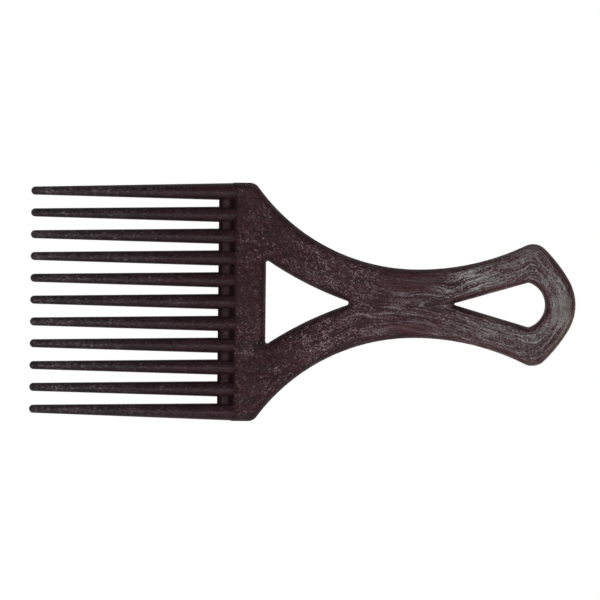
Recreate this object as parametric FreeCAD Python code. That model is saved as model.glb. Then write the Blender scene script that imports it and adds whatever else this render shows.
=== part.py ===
import FreeCAD, Part
import math
import os

from FreeCAD import Vector

# Wide-tooth afro pick, lying on its back with the teeth towards -X and the hanging loop towards +X.
# The real pick is one injection moulding. It is modelled as the named regions of that moulding,
# which meet face to face, so that every tooth and every stretch of the handle is a solid of its own.
# All sizes are in millimetres and degrees. Stations run along X from the tooth tips.

# Teeth
tooth_count = 11
tooth_length = 60.3              # tip to the bottom of the gap between two teeth
tooth_tip_diameter = 2.65
tooth_root_diameter = 5.2
tooth_root_gap = 1.8             # left between two teeth where they enter the head bar
tooth_seat = 1.4                 # the roots run this far into the head bar, behind its rounded front
outer_tooth_extra = 0.45         # the first and last tooth are this much stouter at the root
outer_tooth_inset = 0.1          # wall left between the outer tooth's root and the shoulder's side

# Thin web that closes the gaps between the tooth roots
web_depth = 4.6                  # from the bottom of the gap to the head bar
web_thickness = 3.0
web_lip_radius = 1.2
web_lip_land = 0.4               # flat left between the lip's two rounds

# Moulded plate that carries the teeth and becomes the handle
plate_cover = 0.1                # the plate's faces stand this far beyond the outer teeth's roots
rim_radius = 2.5                 # rounding of every edge but the front one
front_radius = 1.8               # rounding of the head bar's front edges
parting_land = 0.8               # least straight side wall between the two rounded rims
bar_depth = 10.7                 # head bar, from its front wall to the window
shoulder_depth = 7.1             # head bar's straight side, to the corner before it is rounded
shoulder_overhang = 3.25         # shoulder's side beyond the outer tooth's tip
shoulder_round = 3.5

# Window between the two arms
window_length = 28.0             # head bar to the point where the flanks would cross
window_half_height = 13.7
window_flank_radius = 114.0
window_corner_round = 0.6
window_point_round = 0.7

# Waist of the grip, where the arms' outer arcs meet the loop's
waist_from_window = 20.3         # from the window's point to the narrowest place
waist_half_width = 11.0

# Hanging loop
grip_length = 31.8               # window's point to the loop hole's point
hole_length = 29.8
hole_flank_length = 24.5         # loop hole's point to its widest place
hole_half_height = 7.15
hole_point_round = 0.3
hole_corner_round = 1.5
loop_end_wall = 9.8              # loop hole to the end of the handle
loop_end_radius = 16.0
loop_end_half_angle = 30.7       # the end arc reaches this far each side of the axis
loop_half_width = 20.7           # to the loop's corner before it is rounded
loop_corner_from_end = 12.9
loop_corner_round = 5.5

# Seams between the handle's regions, each a plane across X, clear of the openings' rounded corners
arm_seam_after_bar = 3.0
grip_seam_before_point = 6.5     # ahead of the window's point
loop_seam_after_point = 6.5      # behind the loop hole's point

# Stations and sizes worked out from those above
bar_front = tooth_length + web_depth
window_edge = bar_front + bar_depth
window_point = window_edge + window_length
waist = window_point + waist_from_window
hole_point = window_point + grip_length
hole_end = hole_point + hole_length
overall_length = hole_end + loop_end_wall
arm_seam = window_edge + arm_seam_after_bar
grip_seam = window_point - grip_seam_before_point
loop_seam = hole_point + loop_seam_after_point

tooth_pitch = tooth_root_diameter + tooth_root_gap
outer_root_diameter = tooth_root_diameter + outer_tooth_extra
plate_thickness = outer_root_diameter + 2 * plate_cover
teeth_half_span = tooth_pitch * (tooth_count - 1) / 2
shoulder_half_width = teeth_half_span + shoulder_overhang
mid_plane = plate_thickness / 2
tip_radius = tooth_tip_diameter / 2
rim_limit = (plate_thickness - parting_land) / 2
rim_round = min(rim_radius, rim_limit, shoulder_round, loop_corner_round)
front_round = min(front_radius, rim_limit)
web_lip_round = min(web_lip_radius, (web_thickness - web_lip_land) / 2)
front_allowance = plate_thickness    # the plate is made too long in front, then trimmed to its front wall
same_place = 0.01                    # points closer than this are one point


def at(station, y=0.0, z=0.0):
    """Point in the part's frame, whose origin is under the middle of the pick."""
    return Vector(station - overall_length / 2, y, z)


def mirrored(point):
    return Vector(point.x, -point.y, point.z)


def mirrored_edge(edge):
    return edge.mirror(Vector(0, 0, 0), Vector(0, 1, 0))


def line(start, end):
    return Part.LineSegment(start, end).toShape()


def arc_about(start, end, centre):
    """Arc from start to end, the short way round its centre."""
    radius = (start - centre).Length
    towards_middle = (start - centre) + (end - centre)
    return Part.Arc(start, centre + towards_middle.normalize() * radius, end).toShape()


def tangent_arc(start, normal, end):
    """Arc that leaves start square to the given unit normal and ends at end."""
    chord = end - start
    reach = chord.dot(chord) / (2 * chord.dot(normal))
    return arc_about(start, end, start + normal * reach)


def bowed_arc(start, end, radius, towards):
    """Shallow arc of a given radius from start to end, bowed towards a point."""
    chord_middle = (start + end) * 0.5
    half_chord = (end - start).Length / 2
    bow = radius - math.sqrt(radius ** 2 - half_chord ** 2)
    along = (end - start).normalize()
    sideways = Vector(-along.y, along.x, 0)
    side = math.copysign(1, sideways.dot(towards - chord_middle))
    return Part.Arc(start, chord_middle + sideways * (side * bow), end).toShape()


def prism(edges):
    """Extrudes a closed outline, given at the back face, through the plate's thickness."""
    face = Part.Face(Part.Wire(Part.__sortEdges__(edges)))
    return face.extrude(Vector(0, 0, plate_thickness))


def slab(start, end, low_y=-2 * shoulder_half_width, high_y=2 * shoulder_half_width):
    """Block as thick as the plate between two stations, wider than the plate unless told its sides."""
    return Part.makeBox(end - start, high_y - low_y, plate_thickness, at(start, low_y))


def round_corners(solid, radius, points):
    """Rounds the upright edges that stand on the given points of the back face."""
    chosen = []
    for edge in solid.Edges:
        box = edge.BoundBox
        is_upright = box.XLength + box.YLength < same_place
        if is_upright and any(math.hypot(box.XMin - p.x, box.YMin - p.y) < same_place for p in points):
            chosen.append(edge)
    return solid.makeFillet(radius, chosen)


def round_front(solid, radius):
    """Rounds the two edges along Y at the front end of a block."""
    front = solid.BoundBox.XMin
    chosen = []
    for edge in solid.Edges:
        box = edge.BoundBox
        if box.XMax - front < same_place and box.ZLength < same_place:
            chosen.append(edge)
    return solid.makeFillet(radius, chosen)


def round_rims(solid, radius):
    """Rounds the edges of the two flat faces, apart from the straight one at the untrimmed front."""
    front = solid.BoundBox.XMin
    chosen = []
    for edge in solid.Edges:
        box = edge.BoundBox
        if box.ZLength < same_place and box.XMax - front > same_place:
            chosen.append(edge)
    return solid.makeFillet(radius, chosen)


def tooth(y_tip, y_root, root_diameter):
    """Round taper with a ball tip, revolved about X, then leant to reach its place on the head bar."""
    run = bar_front + tooth_seat
    lean = math.atan2(y_root - y_tip, run)
    root_station = run / math.cos(lean)
    root_radius = root_diameter / 2

    # The taper's side leaves the tip's circle along its tangent.
    slant = math.hypot(root_station - tip_radius, root_radius)
    touch_angle = math.atan2(root_radius, root_station - tip_radius) + math.acos(tip_radius / slant)
    tip_centre = Vector(tip_radius, 0, 0)
    touch = tip_centre + Vector(math.cos(touch_angle), math.sin(touch_angle), 0) * tip_radius
    half_touch = tip_centre + Vector(-math.sin(touch_angle / 2), math.cos(touch_angle / 2), 0) * tip_radius

    tip = Vector(0, 0, 0)
    rim = Vector(root_station, root_radius, 0)
    foot = Vector(root_station, 0, 0)
    profile = [Part.Arc(tip, half_touch, touch).toShape(), line(touch, rim), line(rim, foot), line(foot, tip)]
    shape = Part.Face(Part.Wire(profile)).revolve(tip, Vector(1, 0, 0), 360)
    shape.rotate(tip, Vector(0, 0, 1), math.degrees(lean))
    shape.translate(at(0, y_tip, mid_plane))
    return shape


def all_teeth():
    """Teeth from +Y to -Y. The outer two lean out a little, to end just inside the shoulders."""
    teeth = []
    for number in range(tooth_count):
        y_tip = teeth_half_span - number * tooth_pitch
        if number in (0, tooth_count - 1):
            diameter = outer_root_diameter
            y_root = math.copysign(shoulder_half_width - outer_tooth_inset - diameter / 2, y_tip)
        else:
            diameter = tooth_root_diameter
            y_root = y_tip
        teeth.append(tooth(y_tip, y_root, diameter))
    return teeth


def all_webs(teeth):
    """Short webs between neighbouring teeth, each with a rounded lip at the bottom of its gap."""
    webs = []
    for number in range(tooth_count - 1):
        low_y = teeth_half_span - (number + 1) * tooth_pitch
        corner = at(tooth_length, low_y, mid_plane - web_thickness / 2)
        block = Part.makeBox(web_depth, tooth_pitch, web_thickness, corner)
        webs.append(round_front(block, web_lip_round).cut([teeth[number], teeth[number + 1]]))
    return webs


def plate_blank():
    """Outline of the moulded plate, extruded, with its shoulders and the loop's corners rounded."""
    front = at(bar_front - front_allowance, shoulder_half_width)
    shoulder = at(bar_front + shoulder_depth, shoulder_half_width)
    waist_side = at(waist, waist_half_width)
    corner = at(overall_length - loop_corner_from_end, loop_half_width)

    angle = math.radians(loop_end_half_angle)
    end_normal = Vector(math.cos(angle), math.sin(angle), 0)
    end_start = at(overall_length - loop_end_radius) + end_normal * loop_end_radius

    outwards = Vector(0, 1, 0)
    side = [
        line(front, shoulder),
        tangent_arc(waist_side, outwards, shoulder),
        tangent_arc(waist_side, outwards, corner),
        tangent_arc(end_start, end_normal, corner),
    ]
    ends = [
        line(front, mirrored(front)),
        Part.Arc(end_start, at(overall_length), mirrored(end_start)).toShape(),
    ]
    blank = prism(side + [mirrored_edge(edge) for edge in side] + ends)
    blank = round_corners(blank, shoulder_round, [shoulder, mirrored(shoulder)])
    return round_corners(blank, loop_corner_round, [corner, mirrored(corner)])


def window_cutter():
    """Three-sided window: straight along the head bar, with flanks that bow into the opening."""
    top = at(window_edge, window_half_height)
    point = at(window_point)
    flank = bowed_arc(top, point, window_flank_radius, at(window_edge))
    cutter = prism([line(top, mirrored(top)), flank, mirrored_edge(flank)])
    cutter = round_corners(cutter, window_corner_round, [top, mirrored(top)])
    return round_corners(cutter, window_point_round, [point])


def loop_hole_cutter():
    """Drop-shaped hole of the hanging loop, pointed towards the grip."""
    point = at(hole_point)
    top = at(hole_point + hole_flank_length, hole_half_height)
    end = Part.Arc(top, at(hole_end), mirrored(top)).toShape()
    cutter = prism([line(point, top), line(point, mirrored(top)), end])
    cutter = round_corners(cutter, hole_corner_round, [top, mirrored(top)])
    return round_corners(cutter, hole_point_round, [point])


def moulded_plate():
    """Head bar, arms, grip and loop as one plate with rounded rims and a rounded front wall."""
    plate = plate_blank().cut([window_cutter(), loop_hole_cutter()])
    plate = round_rims(plate, rim_round)
    return plate.common(round_front(slab(bar_front, overall_length), front_round))


def handle_regions(plate, teeth):
    """Cuts the plate at its seams, and seats the teeth's roots in the head bar."""
    far = 2 * shoulder_half_width
    return {
        "head_bar": plate.common(slab(bar_front, arm_seam)).cut(teeth),
        "upper_arm": plate.common(slab(arm_seam, grip_seam, 0, far)),
        "lower_arm": plate.common(slab(arm_seam, grip_seam, -far, 0)),
        "grip": plate.common(slab(grip_seam, loop_seam)),
        "hanging_loop": plate.common(slab(loop_seam, overall_length)),
    }


def main():
    os.makedirs("parts", exist_ok=True)
    teeth = all_teeth()
    pieces = {f"tooth_{number:02d}": shape for number, shape in enumerate(teeth, 1)}
    pieces.update({f"web_{number:02d}": shape for number, shape in enumerate(all_webs(teeth), 1)})
    pieces.update(handle_regions(moulded_plate(), teeth))
    for name, shape in pieces.items():
        solid = shape.Solids[0]
        print(f"{name}: {len(shape.Solids)} solid, {shape.Volume:.1f} mm3, valid {shape.isValid()}")
        solid.exportStep(f"parts/{name}.step")


main()
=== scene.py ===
import bpy
import math
import numpy as np
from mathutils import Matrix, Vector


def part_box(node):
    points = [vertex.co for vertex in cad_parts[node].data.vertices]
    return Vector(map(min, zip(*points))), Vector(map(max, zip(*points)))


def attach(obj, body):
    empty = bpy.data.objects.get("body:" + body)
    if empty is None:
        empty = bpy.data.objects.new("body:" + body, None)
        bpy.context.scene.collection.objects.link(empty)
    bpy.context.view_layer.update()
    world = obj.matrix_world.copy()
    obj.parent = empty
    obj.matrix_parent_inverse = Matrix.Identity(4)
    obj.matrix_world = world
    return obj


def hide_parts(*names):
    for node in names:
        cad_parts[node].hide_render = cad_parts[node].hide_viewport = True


# Afro pick: one dark wood-look moulding with eleven teeth, two arms, a grip and a hanging loop.
# Plans and heights are worked out in millimetres, in the frame's own axes.

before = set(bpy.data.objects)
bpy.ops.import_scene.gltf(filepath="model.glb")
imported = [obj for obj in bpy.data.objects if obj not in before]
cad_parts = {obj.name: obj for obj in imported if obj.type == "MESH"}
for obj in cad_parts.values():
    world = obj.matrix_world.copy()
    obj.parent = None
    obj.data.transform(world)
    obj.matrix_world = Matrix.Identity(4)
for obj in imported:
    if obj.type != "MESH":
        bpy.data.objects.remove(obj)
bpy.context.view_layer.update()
mm = 0.001


def nodeBox(node):                              # a node's lowest and highest corner, in millimetres
    low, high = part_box(node)
    return np.array(low) / mm, np.array(high) / mm


def point(x, y):
    return np.array([x, y], float)


barLow, barHigh = nodeBox("head_bar")
barFront = barLow[0]
shoulderY = barHigh[1]
armSeam = barHigh[0]
gripSeam = nodeBox("upper_arm")[1][0]
loopSeam = nodeBox("grip")[1][0]
handleEnd = nodeBox("hanging_loop")[1][0]
midZ = (barLow[2] + barHigh[2]) / 2
halfThick = (barHigh[2] - barLow[2]) / 2
print("frame:", len(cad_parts), "nodes, handle ends at", round(handleEnd, 2), "mm")


# Outline of the moulded plate

headBar = {"depth": 10.7, "shoulderDepth": 7.1, "shoulderRound": 3.5, "frontRound": 1.8}
window = {"length": 28.0, "halfHeight": 13.7, "flankRadius": 114.0, "cornerRound": 0.6, "pointRound": 0.7}
waist = {"fromWindow": 20.3, "halfWidth": 11.0}
loop = {
    "fromWindow": 31.8, "holeLength": 29.8, "holeFlank": 24.5, "holeHalfHeight": 7.15,
    "holePointRound": 0.3, "holeCornerRound": 1.5,
    "endRadius": 16.0, "endHalfAngle": 30.7,
    "halfWidth": 20.7, "cornerFromEnd": 12.9, "cornerRound": 5.5,
}
rim = {"round": 2.5, "ledge": 0.3}              # the ledge is the mould's parting line, seen as a fine step


class Run:                                      # one straight or round stretch of an outline
    def __init__(self, start, end, centre=None):
        self.start, self.end, self.centre = start, end, centre
        if centre is None:
            self.length = np.hypot(*(end - start))
            return
        self.radius = np.hypot(*(start - centre))
        first = math.atan2(*(start - centre)[::-1])
        swing = math.atan2(*(end - centre)[::-1]) - first
        self.turn = (swing + math.pi) % (2 * math.pi) - math.pi     # the short way round
        self.middle = first + self.turn / 2
        self.length = self.radius * abs(self.turn)

    def aim(self, angle):                       # points on the arc's circle: centre + radius * (cos, sin)
        return self.centre + self.radius * np.stack([np.cos(angle), np.sin(angle)], -1)

    def at(self, share):                        # points at shares 0 to 1 of the run's length
        if self.centre is None:
            return self.start + share[..., None] * (self.end - self.start)
        return self.aim(self.middle + (share - 0.5) * self.turn)

    def nearest(self, spots):                   # the run's closest point to each spot, held between its ends
        if self.centre is None:
            along = (self.end - self.start) / self.length ** 2
            return self.at(np.clip((spots - self.start) @ along, 0, 1))
        spoke = spots - self.centre
        swing = np.arctan2(spoke[..., 1], spoke[..., 0]) - self.middle
        swing = (swing + math.pi) % (2 * math.pi) - math.pi
        return self.aim(self.middle + np.clip(swing, -abs(self.turn) / 2, abs(self.turn) / 2))

    def height(self, x):                        # y on the run above each x
        if self.centre is None:
            return np.interp(x, [self.start[0], self.end[0]], [self.start[1], self.end[1]])
        side = math.copysign(1, math.sin(self.middle))
        return self.centre[1] + side * np.sqrt(np.maximum(self.radius ** 2 - (x - self.centre[0]) ** 2, 0))


def towards(start, end, reach):                 # the point that far from start on the way to end
    return start + (end - start) * reach / np.hypot(*(end - start))


def tangentCentre(start, normal, end):          # centre of the arc from start, square to normal, to end
    chord = end - start
    return start + normal * (chord @ chord) / (2 * chord @ normal)


def circlesMeet(a, radiusA, b, radiusB, near):  # where two circles cross, on the side of a given point
    gap = np.hypot(*(b - a))
    along = (gap ** 2 + radiusA ** 2 - radiusB ** 2) / (2 * gap)
    across = math.sqrt(radiusA ** 2 - along ** 2)
    foot = towards(a, b, along)
    square = point(-(b - a)[1], (b - a)[0]) * across / gap
    return min(foot + square, foot - square, key=lambda spot: np.hypot(*(spot - near)))


def chain(stops, centres):                      # runs from stop to stop, round where a centre is given
    return [Run(*ends, centre) for *ends, centre in zip(stops, stops[1:], centres)]


windowEdge = barFront + headBar["depth"]
windowPoint = windowEdge + window["length"]
holePoint = windowPoint + loop["fromWindow"]
holeEnd = holePoint + loop["holeLength"]
outwards = point(0, 1)


def outerRuns():                                # shoulder, arm, waist, flare, corner and end, above the axis
    shoulder = point(barFront + headBar["shoulderDepth"], shoulderY)
    waistSide = point(windowPoint + waist["fromWindow"], waist["halfWidth"])
    arm = tangentCentre(waistSide, outwards, shoulder)
    armRadius = arm[1] - waistSide[1]

    soft = headBar["shoulderRound"]
    roundY = shoulderY - soft
    roundX = arm[0] - math.sqrt((armRadius + soft) ** 2 - (arm[1] - roundY) ** 2)
    shoulderCentre = point(roundX, roundY)

    corner = point(handleEnd - loop["cornerFromEnd"], loop["halfWidth"])
    flare = tangentCentre(waistSide, outwards, corner)
    angle = math.radians(loop["endHalfAngle"])
    endNormal = point(math.cos(angle), math.sin(angle))
    endCentre = point(handleEnd - loop["endRadius"], 0)
    endStart = endCentre + loop["endRadius"] * endNormal
    side = tangentCentre(endStart, endNormal, corner)
    sideRadius = np.hypot(*(endStart - side))
    bend = loop["cornerRound"]
    cornerCentre = circlesMeet(flare, flare[1] - waistSide[1] + bend, side, sideRadius - bend, corner)

    stops = [
        point(barFront, shoulderY), point(roundX, shoulderY), towards(shoulderCentre, arm, soft), waistSide,
        towards(cornerCentre, flare, bend), towards(side, cornerCentre, sideRadius), endStart,
        point(handleEnd, 0),
    ]
    return chain(stops, [None, shoulderCentre, arm, flare, cornerCentre, side, endCentre])


def windowRuns():                               # straight along the head bar, then a flank that bows inwards
    top = point(windowEdge, window["halfHeight"])
    tip = point(windowPoint, 0)
    radius = window["flankRadius"]
    chord = tip - top
    rise = math.sqrt(radius ** 2 - chord @ chord / 4)
    flank = (top + tip) / 2 + point(-chord[1], chord[0]) * rise / np.hypot(*chord)

    small = window["cornerRound"]
    cornerX = windowEdge + small
    corner = point(cornerX, flank[1] - math.sqrt((radius + small) ** 2 - (cornerX - flank[0]) ** 2))
    soft = window["pointRound"]
    end = point(flank[0] - math.sqrt((radius + soft) ** 2 - flank[1] ** 2), 0)
    stops = [
        point(windowEdge, 0), point(windowEdge, corner[1]), towards(corner, flank, small),
        towards(end, flank, soft), end + point(soft, 0),
    ]
    return chain(stops, [None, corner, flank, end])


def holeRuns():                                 # drop-shaped hole: pointed towards the grip, round at the end
    flankX, flankY = loop["holeFlank"], loop["holeHalfHeight"]
    slope = math.atan2(flankY, flankX)
    along, square = point(math.cos(slope), math.sin(slope)), point(-math.sin(slope), math.cos(slope))
    beyond = loop["holeLength"] - flankX
    endRadius = (beyond ** 2 + flankY ** 2) / (2 * beyond)
    endCentre = point(holeEnd - endRadius, 0)

    small = loop["holePointRound"]
    tip = point(holePoint + small / math.sin(slope), 0)
    bend = loop["holeCornerRound"]
    base = point(holePoint + bend / math.sin(slope), 0) - endCentre
    lean = base @ along
    corner = endCentre + base + along * (math.sqrt(lean ** 2 + (endRadius - bend) ** 2 - base @ base) - lean)
    stops = [
        tip - point(small, 0), tip + small * square, corner + bend * square,
        towards(endCentre, corner, endRadius), point(holeEnd, 0),
    ]
    return chain(stops, [tip, None, corner, endCentre])


outer, windowSide, holeSide = outerRuns(), windowRuns(), holeRuns()
windowTop = windowSide[0].end[1]                # where the window's straight edge starts to round
windowTip = windowSide[-1].end[0]
holeTip = holeSide[0].start[0]


def heightAlong(runs, x):                       # y of an outline above each x
    y = np.zeros_like(x)
    for run in runs:
        inside = (x >= run.start[0]) & (x <= run.end[0])
        y[inside] = run.height(x[inside])
    return y


def edgeDistance(x, y):                         # plan distance to the nearest outline; both halves alike
    spots = np.stack([x, np.abs(y)], -1)
    gaps = [np.linalg.norm(spots - run.nearest(spots), axis=-1) for run in outer + windowSide + holeSide]
    return np.min(gaps, axis=0)


def quarterRound(distance, radius):             # rise over a round edge: sqrt(r^2 - (r - d)^2), level past r
    inset = radius - np.minimum(distance, radius)
    return halfThick - radius + np.sqrt(radius ** 2 - inset ** 2)


# Meshes

def makePiece(node, points, faces, attributes, finish):
    mesh = bpy.data.meshes.new(node + "_finish")
    mesh.from_pydata((points * mm).tolist(), [], faces)
    for name, values in attributes.items():
        kind = "FLOAT_VECTOR" if values.ndim == 2 else "FLOAT"
        layer = mesh.attributes.new(name, kind, "POINT")
        layer.data.foreach_set("vector" if values.ndim == 2 else "value", values.astype(np.float32).ravel())
    mesh.shade_smooth()
    mesh.set_sharp_from_angle(angle=math.radians(sharpAngle))
    mesh.materials.append(finish)
    piece = bpy.data.objects.new(node + "_finish", mesh)
    bpy.context.scene.collection.objects.link(piece)
    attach(piece, "root")
    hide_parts(node)
    return piece


def spaced(low, high, count, crowd="both"):     # cosine spacing, closer together at the crowded end or ends
    turn = np.linspace(0, math.pi / 2, count + 1)
    share = {"both": (1 - np.cos(2 * turn)) / 2, "start": 1 - np.cos(turn), "end": np.sin(turn)}[crowd]
    return low + (high - low) * share


grid = {
    "across": 44, "bar": 40, "barMiddle": 26, "stub": 22,
    "arm": 36, "gripEnd": 22, "grip": 64, "loop": 96,
}
sharpAngle = 40                                 # degrees between faces from which an edge stays crisp
flowWidth = 10.5                                # millimetres that the flow lines of one half stand for
weldReach = 1e-4


def columnPatch(x, inner, outside, shares, lines):
    # plan point = (x, inner + t * (outside - inner)); the flow runs along x, and each t is a flow line
    along = np.repeat(x[:, None], len(shares), 1)
    y = inner[:, None] + shares * (outside - inner)[:, None]
    across = np.repeat(lines[None, :], len(x), 0) * flowWidth
    nothing = np.zeros_like(along)
    return {"x": along, "y": y, "flowX": along, "flowY": across,
            "ringX": nothing, "ringY": nothing, "turned": nothing}


def bothHalves(patches):                        # each patch and its mirror, whose rows are reversed
    signs = {"y": -1, "flowY": -1, "ringX": -1}
    return patches + [{key: signs.get(key, 1) * part[key][:, ::-1] for key in part} for part in patches]


def plateMesh(node, patches, finish):
    # top and back stand at midZ +- height, the lower of the rims' and the front's quarter round;
    # the rims' round starts a ledge's width inside the outline;
    # walls close the plate along every edge that only one face uses
    faces, start = [], 0
    for patch in patches:
        index = start + np.arange(patch["x"].size).reshape(patch["x"].shape)
        quads = [index[:-1, :-1], index[1:, :-1], index[1:, 1:], index[:-1, 1:]]
        faces.append(np.stack(quads, -1).reshape(-1, 4))
        start += index.size
    plan = {key: np.concatenate([patch[key].ravel() for patch in patches]) for key in patches[0]}
    spots = np.round(np.stack([plan["x"], plan["y"]], -1) / weldReach)
    first, weld = np.unique(spots, axis=0, return_index=True, return_inverse=True)[1:]
    plan = {key: values[first] for key, values in plan.items()}
    top = weld.reshape(-1)[np.concatenate(faces)]
    count = len(first)

    sides = np.stack([top, np.roll(top, -1, 1)], -1).reshape(-1, 2)
    which, uses = np.unique(np.sort(sides, 1), axis=0, return_inverse=True, return_counts=True)[1:]
    a, b = sides[uses[which.reshape(-1)] == 1].T
    walls = np.stack([a + count, b + count, b, a], -1)

    x, y = plan["x"], plan["y"]
    edge = edgeDistance(x, y)
    rimHeight = quarterRound(np.maximum(edge - rim["ledge"], 0), rim["round"])
    height = np.minimum(rimHeight, quarterRound(x - barFront, headBar["frontRound"]))
    z = np.concatenate([midZ + height, midZ - height])
    twice = {key: np.tile(values, 2) for key, values in plan.items()}
    attributes = {
        "flow": np.stack([twice["flowX"], twice["flowY"], z], -1),
        "ring": np.stack([twice["ringX"], twice["ringY"], z], -1),
        "turned": twice["turned"],
        "edge": np.tile(np.minimum(edge, x - barFront), 2),
    }
    points = np.stack([twice["x"], twice["y"], z], -1)
    everyFace = np.concatenate([top, top[:, ::-1] + count, walls])
    return makePiece(node, points, everyFace.tolist(), attributes, finish)


across = spaced(0, 1, grid["across"])


def headBarPatches():
    bar = spaced(barFront, windowEdge, grid["bar"])
    middle = spaced(0, 1, grid["barMiddle"], "end")
    level = np.full_like(bar, windowTop)
    inside = columnPatch(bar, np.zeros_like(bar), level, middle, (middle - 1) * windowTop / flowWidth)
    beside = columnPatch(bar, level, heightAlong(outer, bar), across, across)
    stub = spaced(windowEdge, armSeam, grid["stub"], "start")
    armRoot = columnPatch(stub, heightAlong(windowSide[1:], stub), heightAlong(outer, stub), across, across)
    return bothHalves([inside, beside, armRoot])


def armPatch():
    x = np.linspace(armSeam, gripSeam, grid["arm"])
    return columnPatch(x, heightAlong(windowSide[1:], x), heightAlong(outer, x), across, across)


def gripPatches():
    toTip = spaced(gripSeam, windowTip, grid["gripEnd"], "end")
    toHole = spaced(windowTip, holeTip, grid["grip"])
    toSeam = spaced(holeTip, loopSeam, grid["gripEnd"], "start")
    ahead = columnPatch(toTip, heightAlong(windowSide[1:], toTip), heightAlong(outer, toTip), across, across)
    whole = columnPatch(toHole, np.zeros_like(toHole), heightAlong(outer, toHole), across, across)
    behind = columnPatch(toSeam, heightAlong(holeSide, toSeam), heightAlong(outer, toSeam), across, across)
    return bothHalves([ahead, whole, behind])


def pathFrom(runs, x):                          # the runs from the first place at that x to the chain's end
    number = next(n for n, run in enumerate(runs) if run.end[0] > x)
    cut = runs[number]
    return [Run(point(x, cut.height(np.array(x))), cut.end, cut.centre)] + runs[number + 1:]


def alongPath(runs, bend, shares):
    # points at shares of the path's length, where share = s + k * s * (1 - s) puts the path's bend at s = 1/2
    lengths = np.array([run.length for run in runs])
    stops = np.concatenate([[0], np.cumsum(lengths)])
    speed = 4 * (stops[bend] / stops[-1] - 0.5)
    reach = np.clip(shares + speed * shares * (1 - shares), 0, 1) * stops[-1]
    which = np.clip(np.searchsorted(stops, reach, "right") - 1, 0, len(runs) - 1)
    spots = np.zeros((len(shares), 2))
    for number, run in enumerate(runs):
        chosen = which == number
        spots[chosen] = run.at((reach[chosen] - stops[number]) / run.length)
    return spots


loopFlow = {"length": 44.0, "turnStart": 0.12, "turnEnd": 0.5}


def loopPatches():
    # band between hole and outline: point = inner(s) + t * (outer(s) - inner(s)), from the seam to the axis
    s = np.linspace(0, 1, grid["loop"])
    inner = alongPath(pathFrom(holeSide, loopSeam), 1, s)
    outside = alongPath(pathFrom(outer, loopSeam), 1, s)
    plan = inner[:, None] + across[None, :, None] * (outside - inner)[:, None]
    s = np.repeat(s[:, None], len(across), 1)
    lines = np.repeat(across[None, :], len(s), 0) * flowWidth
    share = np.clip((s - loopFlow["turnStart"]) / (loopFlow["turnEnd"] - loopFlow["turnStart"]), 0, 1)
    band = {"x": plan[..., 0], "y": plan[..., 1], "flowX": loopSeam + s * loopFlow["length"], "flowY": lines,
            "ringX": (1 - s) * loopFlow["length"], "ringY": lines, "turned": share * share * (3 - 2 * share)}
    return bothHalves([band])


tooth = {
    "tipDiameter": 2.65, "flareLength": 3.2,
    "sides": 40, "noseRings": 10, "sideRings": 30, "sidePower": 3,
}
toothNodes = sorted(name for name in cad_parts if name.startswith("tooth_"))
toothRoots = [(low[1] + high[1]) / 2 for low, high in map(nodeBox, toothNodes)]
toothPitch = toothRoots[1] - toothRoots[2]


def toothMesh(node, tip, root, rootRadius, finish):
    # round taper about the line from tip to root: along + radius * (cos, sin);
    # the nose is a ball of the tip's radius, a = r - r * cos, radius = r * sin, and the side leaves it
    # along its tangent; over the last stretch it swells with the square of the way, flush with the bar
    small = tooth["tipDiameter"] / 2
    reach = np.hypot(*(root - tip))
    slant = math.hypot(reach - small, rootRadius)
    touch = math.pi - math.atan2(rootRadius, reach - small) - math.acos(small / slant)
    nose = np.linspace(0, touch, tooth["noseRings"] + 1)[1:]
    taper = spaced(0, 1, tooth["sideRings"], "end")[1:]
    along = np.concatenate([small - small * np.cos(nose), 0 * taper])
    radius = np.concatenate([small * np.sin(nose), 0 * taper])
    along[len(nose):] = along[len(nose) - 1] + taper * (reach - along[len(nose) - 1])
    radius[len(nose):] = radius[len(nose) - 1] + taper * (rootRadius - radius[len(nose) - 1])
    flare = quarterRound(root[0] - barFront, headBar["frontRound"]) - rootRadius
    radius = radius + flare * np.clip((along - reach) / tooth["flareLength"] + 1, 0, 1) ** 2

    ahead = (root - tip) / reach
    turn = np.linspace(0, 2 * math.pi, tooth["sides"], endpoint=False)
    sideways = radius[:, None] * np.cos(turn)
    x = tip[0] + along[:, None] * ahead[0] - sideways * ahead[1]
    y = tip[1] + along[:, None] * ahead[1] + sideways * ahead[0]
    z = midZ + radius[:, None] * np.sin(turn)
    ends = np.array([[*tip, midZ], [*root, midZ]])
    points = np.concatenate([np.stack([x, y, z], -1).reshape(-1, 3), ends])

    index = np.arange(x.size).reshape(x.shape)
    beside = np.roll(index, -1, 1)
    faces = np.stack([index[:-1], beside[:-1], beside[1:], index[1:]], -1).reshape(-1, 4).tolist()
    tipPole, rootPole = np.full_like(index[0], x.size), np.full_like(index[0], x.size + 1)
    faces += np.stack([tipPole, beside[0], index[0]], -1).tolist()
    faces += np.stack([rootPole, index[-1], beside[-1]], -1).tolist()
    # side is 1 on the tooth's flanks and 0 on its top and bottom; the finish darkens the flanks with it, as
    # painted shade
    side = np.concatenate([np.tile(np.abs(np.cos(turn)), len(radius)), [1, 1]]) ** tooth["sidePower"]
    return makePiece(node, points, faces, {"side": side}, finish)


def buildTeeth(finish):
    for number, node in enumerate(toothNodes):
        low, high = nodeBox(node)
        tip = point(low[0], (len(toothNodes) // 2 - number) * toothPitch)
        root = point(high[0], toothRoots[number])
        toothMesh(node, tip, root, (high[2] - low[2]) / 2, finish)
    print("teeth:", len(toothNodes), "at a pitch of", round(toothPitch, 2), "mm")


web = {
    "lipRound": 1.2, "lipSteps": 10, "floorSteps": 9, "columns": 26, "sink": 0.4, "bury": 0.9,
    "lipShade": 1.7, "backShade": 1.45, "backFade": 0.8,
    "sideShade": 0.8, "toothShare": 0.5, "leastShade": 0.14,
}


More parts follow.
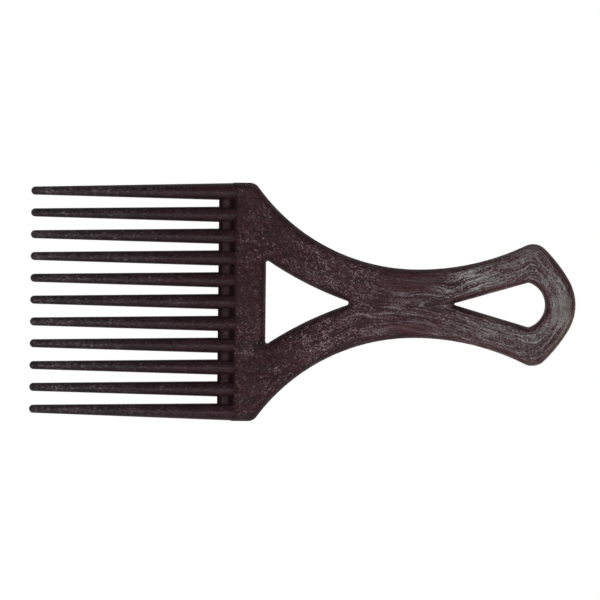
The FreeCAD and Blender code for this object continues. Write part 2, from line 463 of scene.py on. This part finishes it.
def webMesh(node, finish):
    # a rounded lip, x = r * (1 - cos), z = half - r + r * sin, carried along y between two teeth;
    # the shade is 1 at the lip and at the bar, less along the teeth, and least in the middle
    low, high = nodeBox(node)
    half = (high[2] - low[2]) / 2
    bend = web["lipRound"]
    turn = np.linspace(0, math.pi / 2, web["lipSteps"])
    floor = np.linspace(low[0] + bend, high[0] + web["sink"], web["floorSteps"])[1:]
    x = np.concatenate([low[0] + bend * (1 - np.cos(turn)), floor])
    rise = np.concatenate([half - bend + bend * np.sin(turn), np.full_like(floor, half)])
    profileX = np.concatenate([x[::-1], x])
    profileZ = np.concatenate([midZ + rise[::-1], midZ - rise])
    y = np.linspace(low[1] - web["bury"], high[1] + web["bury"], web["columns"])
    size = (len(y), len(profileX))
    points = np.stack([np.broadcast_to(profileX, size), np.repeat(y[:, None], size[1], 1),
                       np.broadcast_to(profileZ, size)], -1).reshape(-1, 3)
    index = np.arange(len(points)).reshape(size)
    beside = np.roll(index, -1, 1)
    faces = np.stack([index[:-1], beside[:-1], beside[1:], index[1:]], -1).reshape(-1, 4).tolist()
    faces += [index[0, ::-1].tolist(), index[-1].tolist()]
    lip = np.sqrt(1 - np.clip((points[:, 0] - low[0]) / web["lipShade"], 0, 1))
    back = np.clip((web["backShade"] - high[0] + points[:, 0]) / web["backFade"], 0, 1)
    inwards = np.minimum(points[:, 1] - low[1], high[1] - points[:, 1])
    toTooth = web["toothShare"] * (1 - np.clip(inwards / web["sideShade"], 0, 1))
    corner = np.maximum(np.maximum(lip, back), toTooth).clip(web["leastShade"])
    return makePiece(node, points, faces, {"corner": corner}, finish)


# Finishes

class Shade:                                    # a shader value: sums and products on it add Math nodes
    def __init__(self, finish, socket):
        self.finish, self.socket = finish, socket

    def math(self, operation, first, second):
        return self.finish.node("ShaderNodeMath", {"operation": operation}, {0: first, 1: second})

    def __add__(self, other):
        return self.math("ADD", self, other)

    def __radd__(self, other):
        return self.math("ADD", other, self)

    def __sub__(self, other):
        return self.math("SUBTRACT", self, other)

    def __rsub__(self, other):
        return self.math("SUBTRACT", other, self)

    def __mul__(self, other):
        return self.math("MULTIPLY", self, other)

    def __rmul__(self, other):
        return self.math("MULTIPLY", other, self)

    def most(self, other):
        return self.math("MAXIMUM", self, other)

    def least(self, other):
        return self.math("MINIMUM", self, other)


def linear(colour):                             # a colour as seen, 0 to 255, as the renderer's own numbers
    share = np.array(colour) / 255
    return (*np.where(share < 0.04045, share / 12.92, ((share + 0.055) / 1.055) ** 2.4), 1.0)


class Finish:                                   # one material while it is put together
    def __init__(self, name):
        self.material = bpy.data.materials.new(name)
        self.material.use_nodes = True
        self.tree = self.material.node_tree
        self.surface = self.tree.nodes["Principled BSDF"]

    def plug(self, socket, value):
        if isinstance(value, Shade):
            self.tree.links.new(value.socket, socket)
        else:
            socket.default_value = value

    def node(self, kind, settings, sockets, out=0):
        made = self.tree.nodes.new(kind)
        for key, value in settings.items():
            if key == "stops":
                self.fill(made.color_ramp.elements, value)
            else:
                setattr(made, key, value)
        for key, value in sockets.items():
            self.plug(made.inputs[key], value)
        return Shade(self, made.outputs[out])

    def fill(self, elements, stops):            # a ramp's colours by their places
        while len(elements) < len(stops):
            elements.new(1.0)
        for element, (spot, colour) in zip(elements, stops.items()):
            element.position = spot
            element.color = linear(colour)

    def ramp(self, value, stops):
        return self.node("ShaderNodeValToRGB", {"stops": stops}, {0: value})

    def place(self):                            # the frame's own coordinates, in millimetres
        metres = self.node("ShaderNodeTexCoord", {}, {}, "Object")
        return self.stretch(metres, (1000, 1000, 1000))

    def attribute(self, name, out="Vector"):
        return self.node("ShaderNodeAttribute", {"attribute_name": name}, {}, out)

    def stretch(self, vector, factors):
        return self.node("ShaderNodeVectorMath", {"operation": "MULTIPLY"}, {0: vector, 1: factors})

    def turned(self, vector, angle):
        turn = (0, 0, math.radians(angle))
        return self.node("ShaderNodeMapping", {"vector_type": "POINT"}, {"Vector": vector, "Rotation": turn})

    def moved(self, vector, sideways):          # shifted along Y
        shift = self.node("ShaderNodeCombineXYZ", {}, {"Y": sideways})
        return self.node("ShaderNodeVectorMath", {"operation": "ADD"}, {0: vector, 1: shift})

    def part(self, vector, axis):
        return self.node("ShaderNodeSeparateXYZ", {}, {0: vector}, axis)

    def noise(self, vector, sizes, detail=2.0, rough=0.55, offset=0.0):
        # soft noise whose features measure about the given sizes, in millimetres along each axis
        scaled = self.stretch(vector, tuple(1 / size for size in sizes))
        shift = {0: scaled, 1: (offset, offset, offset)}
        moved = self.node("ShaderNodeVectorMath", {"operation": "ADD"}, shift)
        return self.node("ShaderNodeTexNoise", {}, {
            "Vector": moved, "Scale": 1.0, "Detail": detail, "Roughness": rough})

    def smooth(self, value, low, high):         # 0 below low, 1 above high, eased between
        return self.node("ShaderNodeMapRange", {"interpolation_type": "SMOOTHSTEP"}, {
            "Value": value, "From Min": low, "From Max": high})

    def blend(self, share, first, second):
        return self.node("ShaderNodeMix", {"data_type": "RGBA"}, {0: share, 6: first, 7: second}, 2)

    def tint(self, share, colour, factors):
        settings = {"data_type": "RGBA", "blend_type": "MULTIPLY"}
        return self.node("ShaderNodeMix", settings, {0: share, 6: colour, 7: (*factors, 1.0)}, 2)

    def bump(self, height, strength, depth):
        sockets = {"Height": height, "Strength": strength, "Distance": depth * mm}
        return self.node("ShaderNodeBump", {}, sockets)

    def wear(self, sockets):
        for key, value in sockets.items():
            self.plug(self.surface.inputs[key], value)
        return self.material


noiseShift = {"layer": 7.3, "threads": 3.1, "border": 33.0, "clusters": 57.0, "pits": 41.0, "red": 21.0}
speckLevel = 0.6                                # what the strongest of the speck noises comes to on average
roughSpread = 0.1                               # how far the grain and the red patches shift the roughness

moulding = {
    "headStops": {0.0: (18, 9, 12), 0.38: (41, 21, 26), 0.55: (60, 34, 39),
                  0.75: (89, 75, 80), 1.0: (128, 119, 122)},
    "loopStops": {0.0: (22, 12, 15), 0.34: (52, 31, 35), 0.5: (75, 59, 59),
                  0.66: (97, 90, 89), 0.85: (128, 126, 122), 1.0: (152, 154, 149)},
    # the grip tone and the grey's range make the plate lighter and greyer towards the loop: partly its own
    # colour, partly painted sheen
    "tone": 0.39, "gripTone": 0.145, "greyFrom": 22.0, "greyFull": 66.0,
    # painted shade darkens the rims' round and the bar's front above the webs; painted highlights lighten the
    # ledge and the loop band's middle
    "rimShadeTone": -0.16, "rimClear": (0.3, 2.1), "loopRim": 0.75, "ledgeHighlightTone": 0.4, "lineFade": 0.1,
    "bandHighlightTone": 0.015, "bandFrom": 1.5, "bandFull": 5.0,
    "frontShadeTone": -0.26, "frontFade": (0.3, 1.5), "ridgeFade": (-0.5, 0.6), "frontRough": 0.4,
    "roughness": 0.56, "specular": 0.14, "bumpDepth": 0.04, "bumpStrength": 0.3,

    "speckGain": 1.75, "pitGain": 1.0, "patchGain": 0.5,
    "headGain": 0.85, "armReach": 24.0, "lowGain": 0.25, "lowSide": (-12.0, 0.0),
    "speckAngles": (4, 24, -20, 48), "speckSize": (1.35, 0.36, 0.55),
    "pitSize": (0.46, 0.44, 0.44), "patchSize": (9.0, 5.0, 7.0),
    "clusterSize": (10.0, 7.0, 8.0), "clusterCut": (0.36, 0.62), "clusterLow": 0.65, "clusterHigh": 1.35,

    "bundleGain": 0.9, "threadGain": 1.7, "bundleSize": (18.0, 1.3, 3.0), "threadSize": (9.0, 0.5, 0.8),
    "sway": 4.0, "swaySize": (14.0, 6.0, 6.0), "drift": 4.5, "driftFrom": 22.0, "driftFull": 60.0,
    "linesFrom": 6.0, "linesFull": 34.0, "linesLean": 0.85, "lineCalm": 0.3, "loopCalm": 0.28,
    "border": 16.0, "borderSize": (9.0, 7.0, 7.0),

    "redTint": (1.18, 0.9, 0.88), "redSize": (5.0, 2.6, 4.0), "redCut": (0.4, 0.64), "redTop": (0.45, 0.65),
    "rimWarm": 0.6, "streamWarm": 0.5, "lowWarm": 0.3, "markCalm": 0.6,
    "quietSpot": (36.0, 8.0), "quietSize": (15.0, 6.0), "quietTone": -0.04,
    "streamSpot": (35.0, -8.0), "streamSize": (13.0, 2.6),
    # painted highlights: the glint near the hole's point and the sheen on the loop's end
    "glintSpot": (49.0, 7.5), "glintSize": (11.0, 5.0), "glintTone": 0.05, "glintGain": 0.7,
    "sheenSpot": (82.6, -0.3), "sheenSize": (4.2, 7.4), "sheenTone": 0.175, "sheenCalm": 0.75,
    "innerSpot": (75.5, -0.3), "innerSize": (4.5, 8.0), "innerTone": -0.05,
    "oliveTint": (1.04, 1.06, 0.84), "oliveFrom": 77.0, "oliveFull": 83.0, "oliveRim": (0.4, 2.2),
}


def specks(finish, vector, settings):
    # short fibres that lie several ways: the strongest of several stretched noises, each at its own angle
    strongest = None
    for number, angle in enumerate(settings["speckAngles"]):
        shift = noiseShift["layer"] * number
        layer = finish.noise(finish.turned(vector, angle), settings["speckSize"], 1.0, 0.5, shift)
        strongest = layer if strongest is None else strongest.most(layer)
    return strongest - speckLevel


def spot(finish, vector, centre, size):         # soft oval mark: 1 in the middle, 0 from its edge on
    across = (finish.part(vector, "X") - centre[0]) * (1 / size[0])
    along = (finish.part(vector, "Y") - centre[1]) * (1 / size[1])
    return 1 - finish.smooth(across * across + along * along, 0.1, 1.0)


def flowLines(finish, vector, settings):
    # threads in bundles along the moulding's flow: two stretched noises, swayed sideways by a slow one
    sway = finish.noise(vector, settings["swaySize"], 1.0) - 0.5
    swayed = finish.moved(vector, sway * settings["sway"])
    bundles = finish.noise(swayed, settings["bundleSize"], 2.0, 0.6) - 0.5
    threads = finish.noise(swayed, settings["threadSize"], 3.0, 0.65, noiseShift["threads"]) - 0.5
    return bundles, threads


def plateFinish():
    f = Finish("wood_look_plate")
    place = f.place()
    station, side = f.part(place, "X"), f.part(place, "Y")
    edge, turned = f.attribute("edge", "Fac"), f.attribute("turned", "Fac")
    clear = f.smooth(edge, *moulding["rimClear"])

    # lines take over from specks along the handle, sooner on the lower side, across an uneven border
    unevenness = f.noise(place, moulding["borderSize"], 2.0, 0.5, noiseShift["border"]) - 0.5
    border = moulding["border"] * unevenness
    leaning = station + border - moulding["linesLean"] * side
    lineShare = f.smooth(leaning, moulding["linesFrom"], moulding["linesFull"])
    # greyer and lighter towards the loop: partly the moulding's own colour, partly painted sheen for the
    # light from that side; the grip tone below adds to it
    grey = f.smooth(station + border, moulding["greyFrom"], moulding["greyFull"])
    toGrip = f.smooth(station, windowEdge, windowPoint)
    quiet = spot(f, place, moulding["quietSpot"], moulding["quietSize"])
    stream = spot(f, place, moulding["streamSpot"], moulding["streamSize"])
    # painted glint near the hole's point: lighter, stronger lines
    glint = spot(f, place, moulding["glintSpot"], moulding["glintSize"])
    # painted sheen: a lighter, calmer patch on the loop's end, for the light it reflects
    sheen = spot(f, place, moulding["sheenSpot"], moulding["sheenSize"])
    inner = spot(f, place, moulding["innerSpot"], moulding["innerSize"])
    # painted light: the loop band's middle, away from its darkened rims, is drawn lighter
    band = f.smooth(edge, moulding["bandFrom"], moulding["bandFull"]) * grey
    atEnd = f.smooth(station, moulding["oliveFrom"], moulding["oliveFull"])
    olive = atEnd * f.smooth(edge, 0.0, rim["ledge"]) * (1 - f.smooth(edge, *moulding["oliveRim"]))

    # painted shade: the bar's front is drawn darker above the webs, in the gaps between the teeth, and not
    # where a tooth runs in: cos(2 pi y / pitch)
    front = 1 - f.smooth(station - barFront, *moulding["frontFade"])
    wave = f.node("ShaderNodeMath", {"operation": "COSINE"}, {0: side * (2 * math.pi / toothPitch)})
    corner = front * (1 - f.smooth(wave, *moulding["ridgeFade"]))

    # painted highlight: the ledge is drawn lighter, as if it catches the light: 1 on its flat, 0 on the wall
    # below it and on the round above it
    fade = moulding["lineFade"]
    pastLedge = f.smooth(edge, rim["ledge"] - fade / 2, rim["ledge"] + fade / 2)
    ledgeHighlight = f.smooth(edge, 0.0, fade) * (1 - pastLedge) * (1 - front)

    flow = f.attribute("flow")
    drift = f.smooth(f.part(flow, "X"), moulding["driftFrom"], moulding["driftFull"]) * moulding["drift"]
    below = 1 - f.smooth(f.part(flow, "Y"), -1.0, 1.0)
    straight = flowLines(f, f.moved(flow, drift * below), moulding)
    ringed = flowLines(f, f.attribute("ring"), moulding)
    bundles, threads = [a * (1 - turned) + b * turned for a, b in zip(straight, ringed)]
    clusters = f.noise(place, moulding["clusterSize"], 2.0, 0.5, noiseShift["clusters"])
    cluster = f.smooth(clusters, *moulding["clusterCut"])
    thick = moulding["clusterLow"] + (moulding["clusterHigh"] - moulding["clusterLow"]) * cluster
    speck = specks(f, flow, moulding) * moulding["speckGain"] * thick
    pit = (f.noise(place, moulding["pitSize"], 1.0, 0.5, noiseShift["pits"]) - 0.5) * moulding["pitGain"]
    patch = (f.noise(place, moulding["patchSize"], 2.0) - 0.5) * moulding["patchGain"]

    # the grain grows from the bar to the arms, is stronger on the lower side and gives way to the lines
    pastBar = f.smooth(station, barFront, windowEdge + moulding["armReach"])
    lowSide = (1 - f.smooth(side, *moulding["lowSide"])) * (1 - grey)
    strength = moulding["headGain"] + (1 - moulding["headGain"]) * pastBar
    strength = strength * (1 + moulding["lowGain"] * lowSide)
    strength = strength * (1 - moulding["lineCalm"] * lineShare * (1 - glint))
    grain = (speck + pit + patch) * strength
    lines = (bundles * moulding["bundleGain"] + threads * moulding["threadGain"]) * lineShare
    lines = lines * (1 + moulding["glintGain"] * glint - moulding["loopCalm"] * grey)

    # one tone for the whole surface: grain and lines on a level that the rims, the loop and the spots shift
    # painted shade: the rims' round is drawn darker, where it turns from the light; less on the loop, none on
    # the bar's front
    dark = (1 - clear) * (1 - front) * (1 - moulding["loopRim"] * grey)
    level = moulding["tone"] + moulding["rimShadeTone"] * dark + moulding["ledgeHighlightTone"] * ledgeHighlight
    # the first term is painted shade on the bar's front above the webs; the second, lighter towards the grip,
    # is partly the moulding's own colour and partly painted light
    level = level + moulding["frontShadeTone"] * corner + moulding["gripTone"] * toGrip * clear
    level = level + moulding["bandHighlightTone"] * band + moulding["glintTone"] * glint
    level = level + moulding["sheenTone"] * sheen + moulding["quietTone"] * quiet
    level = level + moulding["innerTone"] * inner
    still = quiet.most(stream).most(moulding["sheenCalm"] * sheen)
    tone = level + (grain + lines) * (1 - moulding["markCalm"] * still)

    reds = f.noise(place, moulding["redSize"], 2.0, 0.6, noiseShift["red"])
    redness = f.smooth(reds, *moulding["redCut"])
    colour = f.blend(grey, f.ramp(tone, moulding["headStops"]), f.ramp(tone, moulding["loopStops"]))
    warm = redness * (1 - f.smooth(tone, *moulding["redTop"])) + inner
    warm = warm + moulding["rimWarm"] * grey * (1 - clear) + moulding["streamWarm"] * stream
    warm = warm + moulding["lowWarm"] * lowSide * (1 - lineShare)
    colour = f.tint(warm.least(1.0), colour, moulding["redTint"])
    colour = f.tint(olive, colour, moulding["oliveTint"])
    rough = moulding["roughness"] + moulding["frontRough"] * corner
    return f.wear({
        "Base Color": colour,
        "Roughness": rough + roughSpread * (redness - grain),
        "Specular IOR Level": moulding["specular"],
        "Normal": f.bump(tone, moulding["bumpStrength"], moulding["bumpDepth"]),
    })


toothSkin = {
    "tipStops": {0.0: (14, 10, 12), 0.4: (37, 28, 32), 0.6: (61, 51, 56),
                 0.8: (93, 87, 91), 1.0: (126, 121, 124)},
    "rootStops": {0.0: (22, 3, 7), 0.4: (43, 20, 27), 0.6: (59, 37, 45),
                  0.8: (90, 73, 82), 1.0: (124, 109, 117)},
    # the side and corner tones are painted shade: darker flanks on the teeth, darker recesses on the webs
    "tone": 0.52, "sideShadeTone": -0.32, "cornerShadeTone": -0.65, "rootTone": -0.17, "rootFrom": -86.0,
    "speckGain": 1.2, "pitGain": 0.8, "patchGain": 0.5,
    "roughness": 0.44, "cornerRough": 0.56, "specular": 0.14,
    "speckAngles": (0, 24, -20), "speckSize": (1.3, 0.5, 0.5),
    "pitSize": (0.9, 0.6, 0.6), "patchSize": (7.0, 3.0, 3.0),
    "bumpDepth": 0.04, "bumpStrength": 0.3,
}


def toothFinish():
    f = Finish("wood_look_teeth")
    place = f.place()
    nearRoot = f.smooth(f.part(place, "X"), toothSkin["rootFrom"], barFront)
    corner = f.attribute("corner", "Fac")
    # painted shade: the flanks of the teeth and the recesses of the webs are drawn darker
    shade = f.attribute("side", "Fac") * toothSkin["sideShadeTone"] + corner * toothSkin["cornerShadeTone"]
    speck = specks(f, place, toothSkin) * toothSkin["speckGain"]
    pit = (f.noise(place, toothSkin["pitSize"], 1.0, 0.5, noiseShift["pits"]) - 0.5) * toothSkin["pitGain"]
    patch = (f.noise(place, toothSkin["patchSize"], 2.0) - 0.5) * toothSkin["patchGain"]
    grain = speck + pit + patch
    tone = toothSkin["tone"] + toothSkin["rootTone"] * nearRoot + shade + grain
    colour = f.blend(nearRoot, f.ramp(tone, toothSkin["tipStops"]), f.ramp(tone, toothSkin["rootStops"]))
    return f.wear({
        "Base Color": colour,
        "Roughness": toothSkin["roughness"] + toothSkin["cornerRough"] * corner - roughSpread * grain,
        "Specular IOR Level": toothSkin["specular"],
        "Normal": f.bump(tone, toothSkin["bumpStrength"], toothSkin["bumpDepth"]),
    })


plateLook, toothLook = plateFinish(), toothFinish()
print("finishes: plate and teeth")

plateMesh("head_bar", headBarPatches(), plateLook)
upperArm, lowerArm = bothHalves([armPatch()])
plateMesh("upper_arm", [upperArm], plateLook)
plateMesh("lower_arm", [lowerArm], plateLook)
plateMesh("grip", gripPatches(), plateLook)
plateMesh("hanging_loop", loopPatches(), plateLook)
print("plate: head bar, two arms, grip and hanging loop")

buildTeeth(toothLook)
for webNode in sorted(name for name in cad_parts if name.startswith("web_")):
    webMesh(webNode, toothLook)
print("webs done")


# Studio

studio = {
    "keyPlace": (0.12, -0.36, 1.25), "keySize": 0.7, "keyPower": 8.1,
    "sidePlace": (0.3, -1.0, 0.85), "sideSize": 0.4, "sidePower": 3.5,
    "world": 0.4, "floorWhite": 0.35, "glow": 1.0,
    "floorDrop": 0.00005, "floorRadius": 1.8, "coveRadius": 0.6, "coveHeight": 1.2,
    "floorRings": (0.001, 0.3), "coveSteps": 16, "floorSides": 64,
}
view = {"x": -0.9, "y": 0.8, "height": 1069.7, "turn": 0.62, "lens": 200.0, "sensor": 36.0, "far": 20.0}


def buildFloor():
    # a flat disc that turns up into a wall far out: radius R + c * sin, height c * (1 - cos), then upright
    turn = np.linspace(0, math.pi / 2, studio["coveSteps"])
    cove = studio["coveRadius"]
    radius = np.concatenate([studio["floorRings"], studio["floorRadius"] + cove * np.sin(turn)])
    height = np.concatenate([np.zeros(len(studio["floorRings"])), cove * (1 - np.cos(turn))])
    radius = np.append(radius, radius[-1])
    height = np.append(height, studio["coveHeight"]) - studio["floorDrop"]
    angle = np.linspace(0, 2 * math.pi, studio["floorSides"], endpoint=False)
    points = np.stack([radius[:, None] * np.cos(angle), radius[:, None] * np.sin(angle),
                       np.repeat(height[:, None], len(angle), 1)], -1).reshape(-1, 3)
    index = np.arange(len(points)).reshape(len(radius), len(angle))
    beside = np.roll(index, -1, 1)
    faces = np.stack([index[:-1], index[1:], beside[1:], beside[:-1]], -1).reshape(-1, 4).tolist()
    mesh = bpy.data.meshes.new("floor")
    mesh.from_pydata(points.tolist(), [], faces + [index[0].tolist()])
    mesh.shade_smooth()

    f = Finish("pale_floor")
    f.wear({"Base Color": (*[studio["floorWhite"]] * 3, 1), "Roughness": 0.9, "Specular IOR Level": 0.0})
    ray = [f.node("ShaderNodeLightPath", {}, {}, name) for name in
           ("Is Camera Ray", "Is Glossy Ray", "Is Transmission Ray")]
    seen = (ray[0] + ray[1] + ray[2]).least(1.0)
    glow = f.node("ShaderNodeEmission", {}, {"Color": (1, 1, 1, 1), "Strength": 1.0})
    lit = Shade(f, f.surface.outputs[0])
    both = f.node("ShaderNodeMixShader", {}, {0: seen * studio["glow"], 1: lit, 2: glow})
    f.tree.links.new(both.socket, f.tree.nodes["Material Output"].inputs["Surface"])
    mesh.materials.append(f.material)
    floor = bpy.data.objects.new("floor", mesh)
    bpy.context.scene.collection.objects.link(floor)


def buildLights():
    world = bpy.data.worlds.new("studio")
    world.use_nodes = True
    world.node_tree.nodes["Background"].inputs["Color"].default_value = (1, 1, 1, 1)
    world.node_tree.nodes["Background"].inputs["Strength"].default_value = studio["world"]
    bpy.context.scene.world = world
    for name in ("key", "side"):
        lamp = bpy.data.lights.new(name, "AREA")
        lamp.shape = "DISK"
        lamp.size = studio[name + "Size"]
        lamp.energy = studio[name + "Power"]
        light = bpy.data.objects.new(name, lamp)
        light.location = studio[name + "Place"]
        light.rotation_euler = (-light.location).to_track_quat("-Z", "Y").to_euler()
        bpy.context.scene.collection.objects.link(light)


def buildCamera():
    lens = bpy.data.cameras.new("camera")
    lens.lens = view["lens"]
    lens.sensor_width = view["sensor"]
    lens.clip_end = view["far"]
    camera = bpy.data.objects.new("camera", lens)
    camera.location = (view["x"] * mm, view["y"] * mm, (midZ + view["height"]) * mm)
    camera.rotation_euler = (0, 0, math.radians(view["turn"]))
    bpy.context.scene.collection.objects.link(camera)
    bpy.context.scene.camera = camera


buildFloor()
buildLights()
buildCamera()
bpy.context.scene.view_settings.view_transform = "Standard"
print("studio: floor, lights and camera")
